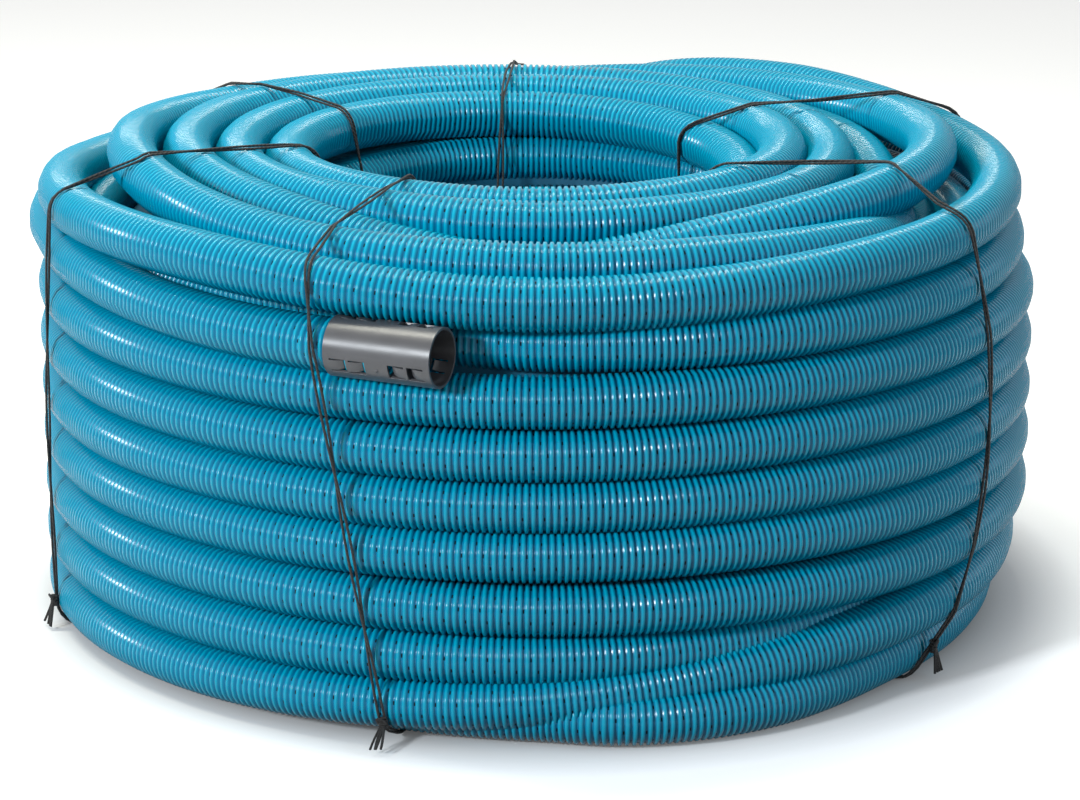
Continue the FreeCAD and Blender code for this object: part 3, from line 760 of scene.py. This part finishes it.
for number, place in enumerate(TIES, start=1):
    axes = tie_axes(*place)
    loop = taut_path(axes, number)
    yarn = bpy.data.curves.new("tie_%d_yarn" % number, "CURVE")
    yarn.dimensions = "3D"
    yarn.bevel_depth = TWINE_RADIUS * MM
    yarn.bevel_resolution = 1
    yarn.use_fill_caps = True
    strands = [strand(loop, axes, side, number * 1.3) for side in (-1, 1)]
    for points in strands + knot_paths(loop, axes, number):
        spline = yarn.splines.new("POLY")
        spline.points.add(len(points) - 1)
        for spot, point in zip(spline.points, points):
            spot.co = (*(point * MM), 1)
    drawn = bpy.data.objects.new("tie_%d_yarn" % number, yarn)
    scene.collection.objects.link(drawn)
    bpy.context.view_layer.update()
    data = bpy.data.meshes.new_from_object(drawn.evaluated_get(bpy.context.evaluated_depsgraph_get()))
    bpy.data.objects.remove(drawn)
    data.materials.clear()
    data.materials.append(TWINE)
    tie = bpy.data.objects.new("tie_%d_twine" % number, data)
    scene.collection.objects.link(tie)
    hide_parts("tie_%d" % number)
    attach(tie, "root")

# The studio: a white paper floor that is its own background. What the camera and the pipe's gloss see of it
# is white, and what it throws back on the coil is grey. Under the coil and in its eye that white and its
# glow are taken away, which paints shade there.
PAPER_SEEN, PAPER_LIT = "#FFFFFF", "#747474"
PAPER_GLOW = 0.25
PAPER_ROUGHNESS = 0.9
PAPER_REACH = 8.0
# Nearer the coil's middle than the first reach the floor stays grey even to the camera, fading to white by
# the second: painted shade.
PAINTED_SHADE_REACH, PAINTED_SHADE_FADE_REACH = 0.42, 0.56


def seen_directly(owner):
    """1 for rays from the camera or from a mirror or glass, and 0 for light on the object."""
    rays = add_node(owner, "ShaderNodeLightPath")
    camera_ray, glossy_ray, through_ray = (rays.outputs["Is %s Ray" % kind]
                                           for kind in ("Camera", "Glossy", "Transmission"))
    other = add_node(owner, "ShaderNodeMath", {0: glossy_ray, 1: through_ray}, operation="MAXIMUM")
    return add_node(owner, "ShaderNodeMath", {0: camera_ray, 1: other}, operation="MAXIMUM")


mesh = bmesh.new()
bmesh.ops.create_grid(mesh, x_segments=2, y_segments=2, size=PAPER_REACH)
paper, shader = new_material("white_paper_backdrop")
spot = add_node(paper, "ShaderNodeTexCoord")
reach = add_node(paper, "ShaderNodeVectorMath", {0: spot.outputs["Object"]}, operation="LENGTH")
# Within a reach of the coil's middle the floor loses its white and glow: painted shade under the coil and
# in its eye.
clear = add_node(paper, "ShaderNodeMapRange", {0: reach.outputs["Value"], 1: PAINTED_SHADE_REACH, 2: PAINTED_SHADE_FADE_REACH})
shown = add_node(paper, "ShaderNodeMath", {0: seen_directly(paper), 1: clear}, operation="MULTIPLY")
sheet = add_node(paper, "ShaderNodeMix", {0: shown, 6: linear(PAPER_LIT), 7: linear(PAPER_SEEN)},
                 data_type="RGBA")
glow = add_node(paper, "ShaderNodeMath", {0: shown, 1: PAPER_GLOW}, operation="MULTIPLY")
paper.node_tree.links.new(sheet.outputs[2], shader.inputs["Base Color"])
paper.node_tree.links.new(glow.outputs[0], shader.inputs["Emission Strength"])
shader.inputs["Emission Color"].default_value = linear(PAPER_SEEN)
shader.inputs["Roughness"].default_value = PAPER_ROUGHNESS
floor = as_object(mesh, "floor", paper)
floor.location.z = -MM

# The room round it: white where it is seen, and a weak even light elsewhere.
ROOM_COLOUR = "#FFFFFF"
ROOM_SEEN, ROOM_LIGHT = 1.0, 0.35
room = bpy.data.worlds.new("studio")
scene.world = room
room.use_nodes = True
strength = add_node(room, "ShaderNodeMapRange", {0: seen_directly(room), 3: ROOM_LIGHT, 4: ROOM_SEEN})
background = room.node_tree.nodes["Background"]
background.inputs["Color"].default_value = linear(ROOM_COLOUR)
room.node_tree.links.new(strength.outputs[0], background.inputs["Strength"])


# The lamps: a long strip overhead that draws a bright line on each turn, a strong one at the front
# left, and a weak cool one on the right, so that the right side of the coil goes deeper and bluer.
def soft_light(name, place, aim, width, depth, power, colour):
    """A soft box that points at a place, in metres and watts."""
    data = bpy.data.lights.new(name, "AREA")
    data.shape = "RECTANGLE"
    data.size = width
    data.size_y = depth
    data.energy = power
    data.color = linear(colour)[:3]
    light = bpy.data.objects.new(name, data)
    light.location = place
    light.rotation_euler = (Vector(aim) - Vector(place)).to_track_quat("-Z", "Y").to_euler()
    scene.collection.objects.link(light)


soft_light("overhead", (-0.7, 0.3, 2.8), (-0.7, 0, 0.3), 2.6, 0.3, 86, "#FFFEF0")
soft_light("left", (-3.0, -3.2, 2.0), (0, 0, 0.3), 0.6, 0.6, 192, "#F2F9FF")
soft_light("right", (3.0, -1.7, 1.3), (0, 0, 0.25), 1.4, 1.4, 27, "#DDF0FF")

# The camera stands 3.9 m in front of the coil at 1.3 m, with a long lens, as for a catalogue picture.
CAMERA_PLACE = (0.0, -3.865, 1.313)
CAMERA_PITCH = 16.20
CAMERA_ROLL = 0.14
SENSOR_WIDTH, FOCAL_LENGTH = 36.0, 131.5
IMAGE_WIDTH, AXIS_COLUMN = 1080, 533.9
lens = bpy.data.cameras.new("camera")
lens.sensor_width = SENSOR_WIDTH
lens.lens = FOCAL_LENGTH
lens.shift_x = (IMAGE_WIDTH / 2 - AXIS_COLUMN) / IMAGE_WIDTH
camera = bpy.data.objects.new("camera", lens)
camera.location = CAMERA_PLACE
camera.rotation_euler = Euler((radians(90 - CAMERA_PITCH), radians(CAMERA_ROLL), 0))
scene.collection.objects.link(camera)
scene.camera = camera

scene.view_settings.view_transform = "Standard"
